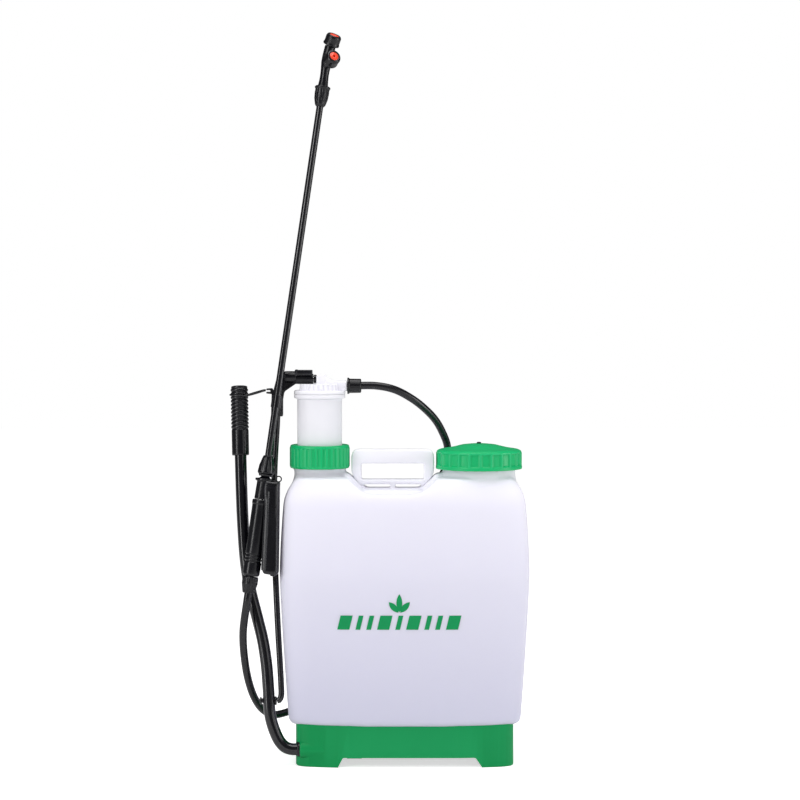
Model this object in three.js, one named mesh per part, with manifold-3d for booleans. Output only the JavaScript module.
// Knapsack sprayer: tank, lever pump, hose, trigger handle, lance and twin nozzle.
// Millimetres, +Z up, origin on the ground under the middle of the base.
// The wearer's back is on the +Y side, and the pump lever is on the -X side.
import * as THREE from 'three'
import { mergeVertices } from 'three/addons/utils/BufferGeometryUtils.js'
import Module from 'manifold-3d'

const wasm = await Module()
wasm.setup()

// ---------- driving dimensions ----------
// Heights are drawn from a datum below the ground, and add() sets the finished solids down on z = 0.
const ground = 16
const gap = 0.4
const tankHalfWidth = 188
const tankHalfDepth = 84
const tankWall = 3.5
const baseHeight = ground + 71
const baseHalfWidth = 165
const baseHalfDepth = 78
const tankBottom = baseHeight + gap
const shoulderHeight = 446
const valleyFloor = 423.5

const pumpX = -128.5
const chamberRadius = 33.8
const barrelInner = chamberRadius + 0.6
const barrelOuter = barrelInner + 2.4
const pumpNeckTop = 470
const collarRadius = 45.5
const collarTop = 494
const chamberTop = 570.4
const headBase = chamberTop + gap
const topPinHeight = 593.5

const fillX = 112.5
const capRadius = 65
const capBottom = 458
const fillNeckRadius = 55
const fillNeckTop = 478

const leverPivotY = -55
const leverPivotZ = 41
const leverArm = 72
const leverLean = THREE.MathUtils.degToRad(7)
const lowerPinY = leverPivotY + leverArm * Math.sin(leverLean)
const lowerPinZ = leverPivotZ + leverArm * Math.cos(leverLean)
const rodLean = lowerPinY / (topPinHeight - lowerPinZ)
const rodRadius = 4.4
const leverRadius = 8.3
const hoseRadius = 5.5

const lanceLeanX = 0.1445
const lanceRadius = 4.7
const lanceAhead = 24

// ---------- materials ----------
const plastics = {
  tank: [0xf2f0fa, 0.45, 0],
  white: [0xf8f7fc, 0.4, 0],
  green: [0x1f9a60, 0.45, 0],
  black: [0x1b1b1e, 0.5, 0],
  steel: [0x17171a, 0.3, 0.4],
  bright: [0xb9bcc0, 0.3, 1],
  rubber: [0x141414, 0.75, 0],
  red: [0xe8412c, 0.5, 0],
  fabric: [0x24262a, 0.9, 0],
}

const assembly = new THREE.Group()
assembly.name = 'knapsack_sprayer'

function add(name, geometry, look) {
  const [color, roughness, metalness] = plastics[look]
  const material = new THREE.MeshStandardMaterial({ color, roughness, metalness })
  material.name = look
  const mesh = new THREE.Mesh(geometry.translate(0, 0, -ground), material)
  mesh.name = name
  assembly.add(mesh)
}

// ---------- solid helpers ----------
function toSolid(geometry) {
  const plain = geometry.clone()
  plain.deleteAttribute('normal')
  plain.deleteAttribute('uv')
  const merged = mergeVertices(plain, 1e-4)
  return new wasm.Manifold(new wasm.Mesh({
    numProp: 3,
    vertProperties: new Float32Array(merged.attributes.position.array),
    triVerts: new Uint32Array(merged.index.array),
  }))
}

function toGeometry(solid) {
  const mesh = solid.getMesh()
  const geometry = new THREE.BufferGeometry()
  geometry.setAttribute('position', new THREE.BufferAttribute(mesh.vertProperties, 3))
  geometry.setIndex(new THREE.BufferAttribute(mesh.triVerts, 1))
  geometry.computeVertexNormals()
  return geometry
}

function join(...geometries) {
  return toGeometry(geometries.map(toSolid).reduce((sum, next) => sum.add(next)))
}

function cut(body, ...tools) {
  return toGeometry(tools.map(toSolid).reduce((rest, tool) => rest.subtract(tool), toSolid(body)))
}

// A solid of revolution about +Z from [radius, height] pairs that close on themselves.
function turned(profile, sides = 28) {
  const points = profile.map(([radius, height]) => new THREE.Vector2(radius, height))
  if (profile[0][0] > 0) points.push(points[0].clone())
  return new THREE.LatheGeometry(points, sides).rotateX(Math.PI / 2)
}

function cylinder(radius, bottom, top, sides = 20) {
  return turned([[0, bottom], [radius, bottom], [radius, top], [0, top]], sides)
}

function ring(inner, outer, bottom, top, sides = 28) {
  return turned([[inner, bottom], [outer, bottom], [outer, top], [inner, top]], sides)
}

function block(x0, x1, y0, y1, z0, z1) {
  const box = new THREE.BoxGeometry(x1 - x0, y1 - y0, z1 - z0)
  return box.translate((x0 + x1) / 2, (y0 + y1) / 2, (z0 + z1) / 2)
}

// A flat outline in X and Z, given a thickness along Y.
function plateXZ(outline, y0, y1) {
  const shape = new THREE.Shape(outline.map(([x, z]) => new THREE.Vector2(x, z)))
  const solid = new THREE.ExtrudeGeometry(shape, { depth: y1 - y0, bevelEnabled: false })
  return solid.rotateX(Math.PI / 2).translate(0, y1, 0)
}

function roundedRectangle(halfWidth, halfDepth, radius, steps = 5) {
  const points = []
  const corners = [[1, 1, 0], [-1, 1, 1], [-1, -1, 2], [1, -1, 3]]
  corners.forEach(([sideX, sideY, quarter]) => {
    for (let i = 0; i <= steps; i += 1) {
      const angle = (quarter + i / steps) * Math.PI / 2
      points.push([
        sideX * (halfWidth - radius) + radius * Math.cos(angle),
        sideY * (halfDepth - radius) + radius * Math.sin(angle),
      ])
    }
  })
  return points
}

function prism(outline, bottom, top) {
  const shape = new THREE.Shape(outline.map(([x, y]) => new THREE.Vector2(x, y)))
  return new THREE.ExtrudeGeometry(shape, { depth: top - bottom, bevelEnabled: false }).translate(0, 0, bottom)
}

function toothed(teeth, root, tip, bottom, top) {
  const outline = []
  for (let i = 0; i < teeth; i += 1) {
    [[0, root], [0.2, tip], [0.7, tip], [0.9, root]].forEach(([part, radius]) => {
      const angle = (i + part) / teeth * Math.PI * 2
      outline.push([radius * Math.cos(angle), radius * Math.sin(angle)])
    })
  }
  return prism(outline, bottom, top)
}

function pipe(points, radius, steps, sides = 8) {
  const curve = new THREE.CatmullRomCurve3(points.map(([x, y, z]) => new THREE.Vector3(x, y, z)), false, 'centripetal')
  const circle = new THREE.Shape()
  for (let i = 0; i < sides; i += 1) {
    const angle = i / sides * Math.PI * 2
    circle[i ? 'lineTo' : 'moveTo'](radius * Math.cos(angle), radius * Math.sin(angle))
  }
  circle.closePath()
  return new THREE.ExtrudeGeometry(circle, { steps, extrudePath: curve, bevelEnabled: false })
}

// Turns a shape built about +Z so that it lies along +X.
function alongX(geometry, y, z) {
  return geometry.rotateY(Math.PI / 2).translate(0, y, z)
}

// ---------- tank ----------
// Height, half width and half depth of the blown tank at each station.
const tankStations = [
  [tankBottom, 161, 66],
  [tankBottom + 4.6, 169.5, 74],
  [tankBottom + 13.6, 174.5, 78],
  [175, 181, 82],
  [302, tankHalfWidth, tankHalfDepth],
  [380, 184, 82],
  [414, 179, 78],
  [434, 171.5, 71],
  [shoulderHeight, 160, 62],
]

// The front bulges and the back is flatter, with a hollow for the wearer's back.
function tankOutline(halfWidth, halfDepth, count = 28) {
  const points = []
  for (let i = 0; i < count; i += 1) {
    const angle = (i + 0.5) / count * Math.PI * 2
    const power = Math.sin(angle) < 0 ? 2 / 4.2 : 2 / 6
    const x = halfWidth * Math.sign(Math.cos(angle)) * Math.abs(Math.cos(angle)) ** power
    let y = halfDepth * Math.sign(Math.sin(angle)) * Math.abs(Math.sin(angle)) ** power
    const across = Math.min(1, Math.abs(x) / (0.75 * halfWidth))
    if (y > 0) y -= 9 * (1 - across ** 2) ** 2
    points.push([x, y])
  }
  return points
}

function loft(stations, outline) {
  const rings = stations.map(([z, w, d]) => outline(w, d).map(([x, y]) => [x, y, z]))
  const count = rings[0].length
  const positions = rings.flat(2)
  const index = []
  for (let level = 0; level < rings.length - 1; level += 1) {
    for (let i = 0; i < count; i += 1) {
      const a = level * count + i
      const b = level * count + (i + 1) % count
      index.push(a, b, b + count, a, b + count, a + count)
    }
  }
  const last = (rings.length - 1) * count
  for (let i = 1; i < count - 1; i += 1) {
    index.push(0, i + 1, i)
    index.push(last, last + i, last + i + 1)
  }
  const geometry = new THREE.BufferGeometry()
  geometry.setAttribute('position', new THREE.Float32BufferAttribute(positions, 3))
  geometry.setIndex(index)
  return geometry
}

// The saddle between the two necks that the carry handle sits in.
function valley(grow) {
  const top = shoulderHeight + 20
  return plateXZ([
    [-58 - grow, valleyFloor - grow],
    [22 + grow, valleyFloor - grow],
    [52 + grow, shoulderHeight + 1],
    [52 + grow, top],
    [-88 - grow, top],
    [-88 - grow, shoulderHeight + 1],
  ], -120, 120)
}

// A strap bar on two ears, standing out from a back wall.
function strapBar(x, y, z, wallY) {
  const bar = alongX(cylinder(3, -25, 25, 10), y, z).translate(x, 0, 0)
  const ears = [-25, 20].map((start) => block(x + start, x + start + 5, wallY, y + 5, z - 7, z + 7))
  return join(bar, ...ears)
}

const strapX = 80
const lowBarZ = ground + 42
const screwSpots = [[-120, -45], [120, -45], [-120, 45], [120, 45]]

function tankShell() {
  const inner = tankStations.map(([z, w, d]) => [z, w - tankWall, d - tankWall])
  inner[0][0] += tankWall
  inner[1][0] += tankWall - 1
  inner[inner.length - 1][0] -= tankWall
  inner[inner.length - 2][0] -= tankWall - 1
  const pumpNeck = barrelOuter + gap
  let shell = cut(loft(tankStations, tankOutline), valley(0))
  shell = join(
    shell,
    cylinder(pumpNeck + 3, shoulderHeight - 8, pumpNeckTop, 24).translate(pumpX, 0, 0),
    cylinder(fillNeckRadius, shoulderHeight - 8, fillNeckTop, 24).translate(fillX, 0, 0),
    ...[-strapX, strapX].map((x) => strapBar(x, 92, 400, 72)),
  )
  const cavity = cut(
    loft(inner, tankOutline),
    valley(tankWall),
    ...screwSpots.map(([x, y]) => cylinder(7, tankBottom, tankBottom + 18.6, 10).translate(x, y, 0)),
  )
  return cut(
    shell,
    cavity,
    cylinder(pumpNeck, 400, pumpNeckTop + 5, 24).translate(pumpX, 0, 0),
    cylinder(fillNeckRadius - 5, 400, fillNeckTop + 5, 24).translate(fillX, 0, 0),
    ...screwSpots.map(([x, y]) => cylinder(2.6, tankBottom - 5, tankBottom + 14.6, 8).translate(x, y, 0)),
  )
}

// ---------- base ----------
const footTop = ground + 15
const axleHole = 11

function footCutOut(y0, y1) {
  return plateXZ([
    [-100, ground - 5], [118, ground - 5], [118, ground], [108.5, footTop], [-93, footTop], [-100, ground],
  ], y0, y1)
}

function baseSkirt() {
  const wall = 3.5
  const bearing = block(-86, -64, -74, -36, ground + 12, baseHeight - 2)
  const middleFoot = block(-16, 16, -16, 16, ground, baseHeight - 2)
  const hull = cut(
    prism(roundedRectangle(baseHalfWidth, baseHalfDepth, 32), ground, baseHeight),
    prism(roundedRectangle(baseHalfWidth - wall, baseHalfDepth - wall, 32 - wall), ground - 5, baseHeight - 4),
  )
  const bars = [-strapX, strapX].map((x) => strapBar(x, baseHalfDepth + 11, lowBarZ, baseHalfDepth - 2))
  return cut(
    join(hull, bearing, middleFoot, ...bars),
    footCutOut(-baseHalfDepth - 5, -baseHalfDepth + 10),
    footCutOut(baseHalfDepth - 10, baseHalfDepth + 1),
    alongX(cylinder(axleHole, -180, -60, 16), leverPivotY, leverPivotZ),
    ...screwSpots.map(([x, y]) => cylinder(2.6, baseHeight - 13, baseHeight + 5, 8).translate(x, y, 0)),
  )
}

function baseScrew([x, y]) {
  return turned([
    [0, baseHeight - 9], [5.5, baseHeight - 9], [5.5, baseHeight - 4.4], [2.2, baseHeight - 4.4],
    [2.2, baseHeight + 12], [0, baseHeight + 14],
  ], 8).translate(x, y, 0)
}

// ---------- carry handle ----------
function carryHandle() {
  const outline = [[-57, valleyFloor + gap], [21, valleyFloor + gap], [44.5, 447]]
  const radius = 15
  const top = 487.5
  for (let i = 0; i <= 5; i += 1) {
    const angle = i / 5 * Math.PI / 2
    outline.push([44.5 - radius + radius * Math.cos(angle), top - radius + radius * Math.sin(angle)])
  }
  for (let i = 0; i <= 5; i += 1) {
    const angle = (1 + i / 5) * Math.PI / 2
    outline.push([-80.5 + radius + radius * Math.cos(angle), top - radius + radius * Math.sin(angle)])
  }
  outline.push([-80.5, 447])
  const window = block(-65, 29, -20, 20, 442, 466)
  const slots = [[-61, -22], [-14, 25]].map(([x0, x1]) => block(x0, x1, -20, 20, 429.5, 434.5))
  return cut(plateXZ(outline, -11, 11), window, ...slots)
}

// ---------- fill opening ----------
function fillCap() {
  const dome = turned([
    [0, 483.4], [capRadius - 5, 483.4], [capRadius - 1, 484], [capRadius - 3, 487], [46, 489.5],
    [28, 494], [12, 495.6], [0, 495.8],
  ], 24)
  const skirt = cut(toothed(24, capRadius - 3, capRadius, capBottom, 484), cylinder(56.5, 450, 483.4, 24))
  const vented = cut(join(dome, skirt), cylinder(3.2, 470, 500, 8))
  return vented.translate(fillX, 0, 0)
}

function ventValve() {
  return turned([[0, 480.6], [5, 480.6], [5, 483], [2.8, 483], [2.8, 496], [3.6, 496.2], [3, 498], [0, 498.4]], 8)
    .translate(fillX, 0, 0)
}

function strainerBasket() {
  const cup = turned([
    [0, 398], [46, 398], [47, 400], [47.5, fillNeckTop - 2], [47.5, fillNeckTop + gap], [54, fillNeckTop + gap],
    [54, fillNeckTop + 2], [45.5, fillNeckTop + 2], [45, 400.5], [0, 400.5],
  ], 20)
  const windows = []
  for (let i = 0; i < 4; i += 1) {
    const slot = block(-60, 60, -9, 9, 410, 462)
    windows.push(slot.rotateZ(i * Math.PI / 4))
  }
  return cut(cup, ...windows).translate(fillX, 0, 0)
}

// ---------- pump ----------
function collarNut() {
  const grip = toothed(24, collarRadius - 1.4, collarRadius, 461, 491)
  const rims = [[459, 461.5], [490.5, collarTop]].map(([z0, z1]) => cylinder(collarRadius - 0.6, z0, z1, 24))
  return cut(
    join(grip, ...rims),
    cylinder(barrelOuter + gap + 3.4, 450, 477.6, 24),
    cylinder(chamberRadius + 0.8, 470, 500, 24),
  ).translate(pumpX, 0, 0)
}

function pumpBarrel() {
  const floor = 107
  return turned([
    [8, floor], [barrelOuter, floor], [barrelOuter, 473.6], [barrelOuter + 3, 473.6], [barrelOuter + 3, 477.2],
    [barrelInner, 477.2], [barrelInner, floor + 4], [8, floor + 4],
  ], 24).translate(pumpX, 0, 0)
}

function inletSeat() {
  return turned([[4, 98.5], [7.4, 98.5], [7.4, 111.4], [14, 111.4], [14, 116], [6.2, 116], [4, 113]], 16)
    .translate(pumpX, 0, 0)
}

function inletBall() {
  return new THREE.IcosahedronGeometry(6.5, 1).translate(pumpX, 0, 122.6)
}

function airChamber() {
  return turned([
    [30.8, 240], [chamberRadius, 240], [chamberRadius, 565], [38.7, 565], [38.7, chamberTop], [30.8, chamberTop],
  ], 24).translate(pumpX, 0, 0)
}

function piston() {
  return turned([
    [6, 219.6], [27, 219.6], [27, 228], [chamberRadius, 228], [chamberRadius, 239.6], [30.3, 239.6], [30.3, 246], [6, 246],
  ], 20).translate(pumpX, 0, 0)
}

function pumpHead() {
  const plate = cylinder(38.7, headBase, 576.2, 24)
  const body = block(-31, 33, -20, 20, 575.8, 585)
  const flutes = [-16, -8, 0, 8, 16].map((y) => block(-32.5, -30, y - 1.6, y + 1.6, 576, 585))
  const lug = plateXZ([[-4.5, 584.5], [9.5, 584.5], [9.5, 600.5], [4.5, 601], [-4.5, 600]], -11, 11)
  const shoulder = plateXZ([[9, 584.5], [33, 584.5], [33, 591], [20, 591.5], [9, 600]], -11, 11)
  const outlet = alongX(cylinder(7.5, 20, 42, 16), 0, 583)
  const spigot = alongX(cylinder(5, 40, 46.6, 12), 0, 583)
  const head = join(plate, body, ...flutes, lug, shoulder, outlet, spigot)
  return cut(
    head,
    alongX(cylinder(4, -8, 12, 12), 0, topPinHeight),
    alongX(cylinder(2.6, 20, 60, 8), 0, 583),
    cylinder(2.6, 560, 583, 8).translate(24, 0, 0),
  ).translate(pumpX, 0, 0)
}

function hoseNutPump() {
  const nut = cut(
    join(alongX(cylinder(12.5, 0, 3, 16), 0, 583), alongX(cylinder(10.6, 2, 21, 16), 0, 583)),
    alongX(cylinder(8, -1, 5, 16), 0, 583),
    alongX(cylinder(hoseRadius + 0.5, 4, 24, 16), 0, 583),
  )
  return nut.translate(-86.6, 0, 0)
}

// ---------- link: rod and bracket ----------
const rodY = (z) => rodLean * (topPinHeight - z)
const sleeveX = -192.4

function rodBracket() {
  const barrel = alongX(cylinder(8, -165, -138, 16), 0, topPinHeight)
  const saddle = block(-165, -139.5, -10, 10, 599, 607)
  const disc = alongX(cylinder(9.5, -180, -164, 16), 0, 596)
  const arm = plateXZ([[-166, 604], [-182, 605], [-196, 598], [-201, 576], [-184, 574], [-167, 588]], -6, 6)
  const sleeve = cylinder(9, 538, 577, 16).translate(sleeveX, rodY(558), 0)
  const cradleX = lanceX(560)
  const cradleY = rodY(560) - lanceAhead
  const arms = block(cradleX - 4, cradleX + 9, cradleY + 1, rodY(558) - 4, 548, 568)
  const tongue = block(cradleX + 5.4, cradleX + 9, cradleY - 5, cradleY + 3, 548, 568)
  const bandLug = block(-209, -198, -5, 5, 571, 580)
  return cut(
    join(barrel, saddle, disc, arm, sleeve, arms, tongue, bandLug),
    alongX(cylinder(4.1, -190, -130, 12), 0, topPinHeight),
    pipe(rodPath(rodRadius + gap, 0.5), rodRadius + gap, 12),
    onLance(cylinder(lanceRadius + 1.3, -60, 300, 12)),
  )
}

function bracketPin() {
  return alongX(cylinder(3.5, -178, -120.5, 12), 0, topPinHeight)
}

function pinClip() {
  return alongX(ring(3.8, 5.6, -137.6, -133.4, 12), 0, topPinHeight)
}

function rodPath(extra, lift) {
  const height = 572 + lift
  return [
    [sleeveX, rodY(height), height], [-192.4, rodY(534), 534], [-195.7, rodY(470), 470], [-197, rodY(410), 410],
    [-194.3, rodY(300), 300], [-190, rodY(215), 215], [-186.6, rodY(160), 160], [-185.4, rodY(134), 134],
    [-185.6, rodY(123), 123], [-187.4, lowerPinY + 0.3, lowerPinZ + 3.4], [-193, lowerPinY, lowerPinZ],
  ].slice(0, extra > rodRadius ? 3 : undefined)
}

function pumpRod() {
  const squareEnd = block(-200, -191.2, lowerPinY - 12, lowerPinY + 12, lowerPinZ - 10, lowerPinZ + 26)
  return cut(pipe(rodPath(0, 0), rodRadius, 26), squareEnd)
}

// ---------- lever ----------
const leverY = (z) => leverPivotY + Math.tan(leverLean) * (z - leverPivotZ)
const axleEnd = -52
const leverBend = [
  [-150, leverPivotZ], [-160, leverPivotZ], [-169, leverPivotZ], [-178, leverPivotZ + 3],
  [-187, leverPivotZ + 11.5], [-195.5, 70], [-201.6, 92], [-204.3, 130], [-207.4, 166], [-213, 201], [-221, 233],
  [-232, 275], [-239, 315], [-244, 375], [-248, 470], [-250.8, 576],
]

function leverTube() {
  const bent = pipe(leverBend.map(([x, z]) => [x, leverY(z), z]), leverRadius, 36, 8)
  const axle = alongX(cylinder(leverRadius, -155, axleEnd, 8), leverPivotY, leverPivotZ)
  return cut(join(bent, axle), alongX(cylinder(3.9, -230, -190, 10), lowerPinY, lowerPinZ))
}

function leverBushing() {
  const pin = alongX(cylinder(3.5, -217.4, -191.6, 10), lowerPinY, lowerPinZ)
  const washer = alongX(cylinder(6.5, -194.2, -191.6, 14), lowerPinY, lowerPinZ)
  return join(pin, washer)
}

function rodRetainer() {
  return alongX(ring(3.8, 5.4, -216.8, -214.6, 10), lowerPinY, lowerPinZ)
}

// Axis frame of the upper end of the lever, for the grip.
function onLeverTop(geometry) {
  const low = new THREE.Vector3(-248, leverY(470), 470)
  const high = new THREE.Vector3(-250.8, leverY(576), 576)
  const turn = new THREE.Quaternion().setFromUnitVectors(new THREE.Vector3(0, 0, 1), high.clone().sub(low).normalize())
  return geometry.applyQuaternion(turn).translate(low.x, low.y, low.z)
}

function leverGrip() {
  const profile = [[8.9, 8], [12.8, 8], [12.8, 46]]
  for (let i = 0; i < 9; i += 1) {
    const z = 50 + i * 6.6
    profile.push([12, z - 1.6], [13.3, z])
  }
  profile.push([12.8, 109], [10, 112], [0, 112], [0, 108], [8.9, 108])
  return onLeverTop(turned(profile, 12))
}

function stowBand() {
  const z = 568
  const y = leverY(z) - 3
  const loop = []
  for (let i = 0; i <= 10; i += 1) {
    const angle = (0.32 + 1.36 * i / 10) * Math.PI
    loop.push([-250.2 + 15 * Math.cos(angle), y + 3 + 15 * Math.sin(angle), z])
  }
  const tip = [-210.6, 0, 576]
  const path = [[-212.5, 2.2, 576], [-226, 12, 572], ...loop, [-226, 4, 572], [-212.5, -1.6, 576], tip]
  return pipe(path, 1.4, 28, 5)
}

// ---------- hose ----------
function hoseUpper() {
  return pipe([
    [-81, 0, 583], [-43, 0.5, 583], [-15, 5, 577], [11, 15, 563], [32, 30, 546], [48, 46, 528], [59, 60, 508],
    [66, 71, 489], [67, 82, 470], [64, 89, 452], [56, 93.2, 436],
  ], hoseRadius, 26, 7)
}

function hoseMiddle() {
  return pipe([
    [54.9, 93.6, 434.2], [42, 93, 410], [22, 90, 360], [6, 88, 290], [-20, 88, 215], [-56, 92, 146], [-100, 96, 104],
    [-132, 96, 89],
  ], hoseRadius, 22, 7)
}

function hoseLower() {
  const tail = onLanceAt(-186)
  return pipe([
    [-134.4, 96, 88], [-151, 92, 82], [-168, 80, 77], [-186, 62, 73], [-203, 42, 74], [-217, 20, 86], [-228, -2, 108],
    [-236, -20, 138], [-241, -34, 176], [-242, -44, 215], tail,
  ], hoseRadius, 26, 7)
}

// ---------- lance unit, built along +Z and then leaned ----------
const lanceBase = 445
const lanceX = (z) => -185.5 + lanceLeanX * (z - 607)
const lanceDirection = new THREE.Vector3(lanceLeanX, -rodLean, 1).normalize()
const lanceFrame = new THREE.Matrix4()
{
  const along = lanceDirection
  const across = new THREE.Vector3(1, 0, 0).addScaledVector(along, -along.x).normalize()
  const back = new THREE.Vector3().crossVectors(along, across)
  lanceFrame.makeBasis(across, back, along)
  lanceFrame.setPosition(lanceX(lanceBase), rodY(lanceBase) - lanceAhead, lanceBase)
}

function onLance(geometry) {
  return geometry.applyMatrix4(lanceFrame)
}

function onLanceAt(station) {
  return new THREE.Vector3(0, 0, station).applyMatrix4(lanceFrame).toArray()
}

const gripTop = -31.5
const gripBottom = -146
const tailEnd = -172
const triggerPin = { x: 6, z: -9 }

function alongLocalY(radius, x, z, y0, y1, sides = 10) {
  return cylinder(radius, y0, y1, sides).rotateX(-Math.PI / 2).translate(x, 0, z)
}

function valveBody() {
  const body = turned([
    [3.2, gripTop + gap], [8.8, gripTop + gap], [8.8, -28], [11.6, -28], [11.2, -2.5], [14.5, -2.5], [14.5, 0], [7, 0.5],
    [6.2, 4], [6.2, 17], [3.2, 17],
  ], 16)
  return onLance(cut(body, alongLocalY(2.2, triggerPin.x, triggerPin.z, -20, 20)))
}

function handleGrip() {
  const profile = [
    [9, gripTop], [13.6, gripTop], [13.9, gripTop - 4], [13.4, gripTop - 7], [12.8, gripBottom + 36],
    [13, gripBottom + 30], [12, gripBottom + 28], [13, gripBottom + 26], [12, gripBottom + 24], [13, gripBottom + 22],
    [12.4, gripBottom + 1], [11, gripBottom], [7.4, gripBottom], [7.4, gripTop - 8], [9, gripTop - 8],
  ]
  return onLance(turned(profile.reverse(), 14))
}

function triggerPath(z) {
  return 15 - 0.1 * (z + 8)
}

function triggerLever() {
  const low = -142
  const outline = [
    [-1, -4.5], [-1, -15], [triggerPath(-40) - 9, -40], [triggerPath(low) - 11, low + 8], [triggerPath(low) - 7, low],
    [triggerPath(low) + 8, low], [triggerPath(low) + 12, low + 5], [triggerPath(-40) + 9.5, -40], [22, -8], [20.5, -3],
  ]
  const inside = [
    [-6, 3], [-6, low - 6], [triggerPath(low) - 20, low + 3], [triggerPath(low) + 6, low + 3],
    [triggerPath(low) + 9.6, low + 6], [triggerPath(-40) + 7, -40], [19.6, -9], [19.6, 3],
  ]
  const gripRoom = block(-20, triggerPath(low) + 1, -14.2, 14.2, low - 5, low + 10)
  const channel = cut(plateXZ(outline, -16.4, 16.4), plateXZ(inside, -14.2, 14.2), gripRoom)
  const ribs = [-62, -84, -106].map((z) => block(triggerPath(z) + 4, triggerPath(z) + 9.8, -14.6, 14.6, z, z + 1.6))
  return onLance(cut(join(channel, ...ribs), alongLocalY(2.2, triggerPin.x, triggerPin.z, -20, 20)))
}

function triggerPinSolid() {
  return onLance(alongLocalY(1.8, triggerPin.x, triggerPin.z, -17.6, 17.6))
}

function valveStem() {
  return onLance(turned([[0, -62], [4.2, -62], [4.2, -58], [1.5, -57], [1.5, -14], [0, -14]], 10))
}

function valveSpring() {
  const turns = 5
  const points = []
  for (let i = 0; i <= turns * 6; i += 1) {
    const angle = i / 6 * Math.PI * 2
    points.push([4.8 * Math.cos(angle), 4.8 * Math.sin(angle), -55.5 + 14 * i / (turns * 6)])
  }
  return onLance(pipe(points, 0.6, turns * 7, 4))
}

function handleFilter() {
  return onLance(turned([[2.6, -140], [6.6, -140], [6.6, -136], [4.6, -135], [4.6, -78], [2.6, -78]], 12))
}

function lockRing() {
  const loop = new THREE.TorusGeometry(4.1, 1, 5, 12).rotateX(Math.PI / 2)
  return onLance(loop.translate(20.2, 0, 2.6))
}

function hoseNutTrigger() {
  const nut = turned([
    [hoseRadius + 0.5, tailEnd], [8.8, tailEnd], [11.6, tailEnd + 12], [11.8, gripBottom - gap - 0.4],
    [hoseRadius + 0.5, gripBottom - gap - 0.4],
  ], 16)
  return onLance(nut)
}

function lanceNut() {
  return onLance(turned([
    [6.6, 3.8], [10, 3.8], [10.4, 7], [12.6, 9], [11.6, 20], [7.8, 33], [7, 35], [lanceRadius + 0.5, 35],
    [lanceRadius + 0.5, 18], [6.6, 18],
  ], 16))
}

const lanceTop = 592

function lanceTube() {
  return onLance(turned([[2.8, 17.6], [lanceRadius, 17.6], [lanceRadius, lanceTop], [2.8, lanceTop]], 12))
}

function nozzleNut() {
  const bottom = 568
  return onLance(turned([
    [lanceRadius + 0.5, bottom], [6.2, bottom], [8.4, bottom + 4], [10.6, bottom + 14], [11, bottom + 26],
    [12, bottom + 29], [10.6, bottom + 31], [7.4, bottom + 31.5], [7.4, bottom + 25.5], [lanceRadius + 0.5, bottom + 25.5],
  ], 16))
}

// ---------- twin nozzle ----------
const topCap = { seat: [-112.6, 0, 1095.5], face: [0.35, -0.33, 0.88] }
const sideCap = { seat: [-118.6, 0, 1067], face: [0.45, -0.8, 0.4] }
const nozzleY = (z) => rodY(z) - lanceAhead

function onCap(cap, geometry) {
  const face = new THREE.Vector3(...cap.face).normalize()
  const turn = new THREE.Quaternion().setFromUnitVectors(new THREE.Vector3(0, 0, 1), face)
  const [x, , z] = cap.seat
  return geometry.applyQuaternion(turn).translate(x, nozzleY(z), z)
}

function nozzleBody() {
  const stem = pipe([
    onLanceAt(lanceTop + 3.4), [-122.4, nozzleY(1042), 1042], [-119.6, nozzleY(1062), 1062],
    [-116.2, nozzleY(1080), 1080], [-112.6, nozzleY(1095), 1095],
  ], 6.2, 12, 8)
  return join(stem, onCap(topCap, cylinder(5.6, -6, 9, 12)), onCap(sideCap, cylinder(5.6, -2, 17.5, 12)))
}

function nozzleCap(cap, start) {
  return onCap(cap, turned([
    [6.2, start], [11.2, start], [11.4, start + 2], [10.8, start + 4], [10.6, start + 14], [9.4, start + 16.5],
    [7, start + 16.5], [7, start + 14], [3, start + 14], [3, start + 8], [6.2, start + 8],
  ], 14))
}

function nozzleInsert(cap, start) {
  return onCap(cap, turned([
    [1.6, start + 14.3], [6.7, start + 14.3], [6.7, start + 16.2], [3.2, start + 17], [1.6, start + 15.4],
  ], 10))
}

// ---------- shoulder straps ----------
// Centre line of one strap, as [y, z], from the tank bar down to the base bar.
function strapLine() {
  const line = []
  const turnRound = (y, z, from, to) => {
    for (let i = 0; i <= 6; i += 1) {
      const angle = THREE.MathUtils.degToRad(from + (to - from) * i / 6)
      line.push([y + 4.6 * Math.cos(angle), z + 4.6 * Math.sin(angle)])
    }
  }
  turnRound(92, 400, 250, -20)
  strapHang.forEach((point) => line.push(point))
  turnRound(baseHalfDepth + 11, lowBarZ, 20, -250)
  return line
}

const strapHang = [[108, 372], [123, 342], [133, 300], [134, 258], [129, 214], [122, 174], [117, 142], [108, 102]]

function webbing(line, width, thickness) {
  const left = []
  const right = []
  line.forEach(([y, z], i) => {
    const [y0, z0] = line[Math.max(0, i - 1)]
    const [y1, z1] = line[Math.min(line.length - 1, i + 1)]
    const length = Math.hypot(y1 - y0, z1 - z0)
    const side = [(z1 - z0) / length * thickness / 2, -(y1 - y0) / length * thickness / 2]
    left.push(new THREE.Vector2(y + side[0], z + side[1]))
    right.push(new THREE.Vector2(y - side[0], z - side[1]))
  })
  const shape = new THREE.Shape(left.concat(right.reverse()))
  const ribbon = new THREE.ExtrudeGeometry(shape, { depth: width, bevelEnabled: false })
  return ribbon.applyMatrix4(new THREE.Matrix4().set(0, 0, 1, -width / 2, 1, 0, 0, 0, 0, 1, 0, 0, 0, 0, 0, 1))
}

function strap(x) {
  return webbing(strapLine(), 36, 2).translate(x, 0, 0)
}

function strapPad(x) {
  const line = strapHang.slice(1, 5)
  return cut(webbing(line, 58, 12), webbing(strapHang.slice(0, 6), 37, 2.8)).translate(x, 0, 0)
}

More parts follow.
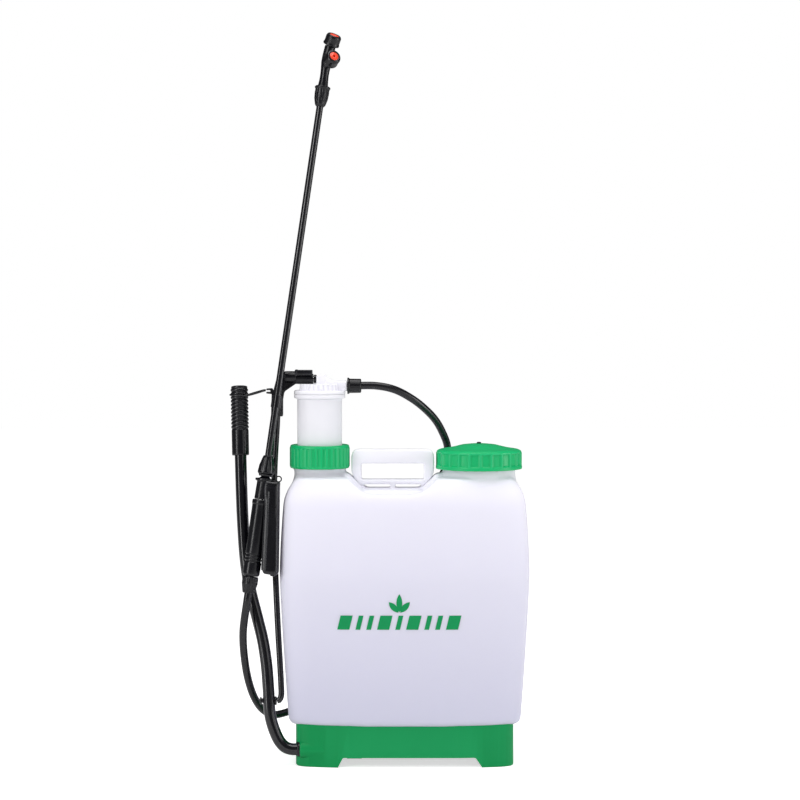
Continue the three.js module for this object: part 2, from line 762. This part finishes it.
function buckle(x) {
  const low = strapHang[6]
  const high = strapHang[5]
  const tilt = Math.atan2(high[0] - low[0], high[1] - low[1])
  const frame = cut(block(-23, 23, -4.5, 4.5, -13, 13), block(-18.6, 18.6, -1.6, 1.6, -20, 20))
  return frame.rotateX(-tilt).translate(x, (low[0] + high[0]) / 2, (low[1] + high[1]) / 2)
}

// ---------- assembly ----------
add('tank_shell', tankShell(), 'tank')
add('base_skirt', baseSkirt(), 'green')
screwSpots.forEach((spot, i) => add(`base_screw_${i + 1}`, baseScrew(spot), 'bright'))
add('carry_handle', carryHandle(), 'white')
add('fill_cap', fillCap(), 'green')
add('fill_cap_gasket', ring(50.5, 55.6, fillNeckTop + 2.4, 483, 24).translate(fillX, 0, 0), 'rubber')
add('vent_valve', ventValve(), 'rubber')
add('strainer_basket', strainerBasket(), 'white')
add('pump_collar_nut', collarNut(), 'green')
add('collar_gasket', ring(37.3, 39.9, pumpNeckTop + gap, 473.2, 24).translate(pumpX, 0, 0), 'rubber')
add('pump_barrel', pumpBarrel(), 'white')
add('inlet_valve_seat', inletSeat(), 'white')
add('inlet_valve_ball', inletBall(), 'bright')
add('air_chamber', airChamber(), 'white')
add('piston', piston(), 'white')
add('piston_cup', turned([[27.4, 220], [33.4, 219], [34.1, 227.6], [27.4, 227.6]], 20).translate(pumpX, 0, 0), 'rubber')
add('pump_head', pumpHead(), 'white')
add('hose_nut_pump', hoseNutPump(), 'black')
add('rod_bracket', rodBracket(), 'black')
add('bracket_pin', bracketPin(), 'bright')
add('pin_clip', pinClip(), 'bright')
add('pump_rod', pumpRod(), 'steel')
add('rod_retainer', rodRetainer(), 'bright')
add('lever_tube', leverTube(), 'steel')
add('lever_grip', leverGrip(), 'black')
add('lever_bushing', leverBushing(), 'black')
add('axle_bush_left', alongX(join(
  ring(leverRadius + 0.8, axleHole - gap, -168, -160.5, 14), ring(leverRadius + 0.8, 13.4, -168, -165.6, 14),
), leverPivotY, leverPivotZ), 'black')
add('axle_bush_right', alongX(join(
  ring(leverRadius + 0.8, axleHole - gap, -89, -63, 14), ring(leverRadius + 0.8, 13.4, -89, -86.6, 14),
), leverPivotY, leverPivotZ), 'black')
add('axle_cap', alongX(cut(cylinder(10.4, -61.5, axleEnd + 4, 14), cylinder(leverRadius + gap, -63, axleEnd + 1, 12)),
  leverPivotY, leverPivotZ), 'black')
add('stow_band', stowBand(), 'rubber')
add('hose_upper', hoseUpper(), 'rubber')
add('hose_middle', hoseMiddle(), 'rubber')
add('hose_lower', hoseLower(), 'rubber')
add('valve_body', valveBody(), 'black')
add('handle_grip', handleGrip(), 'black')
add('trigger_lever', triggerLever(), 'black')
add('trigger_pin', triggerPinSolid(), 'bright')
add('valve_stem', valveStem(), 'bright')
add('valve_spring', valveSpring(), 'bright')
add('handle_filter', handleFilter(), 'white')
add('lock_ring', lockRing(), 'bright')
add('hose_nut_trigger', hoseNutTrigger(), 'black')
add('lance_nut', lanceNut(), 'black')
add('lance_tube', lanceTube(), 'steel')
add('nozzle_nut', nozzleNut(), 'black')
add('nozzle_body', nozzleBody(), 'black')
add('nozzle_cap_top', nozzleCap(topCap, 3), 'black')
add('nozzle_cap_side', nozzleCap(sideCap, 12.5), 'black')
add('nozzle_insert_top', nozzleInsert(topCap, 3), 'red')
add('nozzle_insert_side', nozzleInsert(sideCap, 12.5), 'red')
add('strap_left', strap(-strapX), 'fabric')
add('strap_right', strap(strapX), 'fabric')
add('strap_pad_left', strapPad(-strapX), 'fabric')
add('strap_pad_right', strapPad(strapX), 'fabric')
add('buckle_left', buckle(-strapX), 'black')
add('buckle_right', buckle(strapX), 'black')

export default assembly
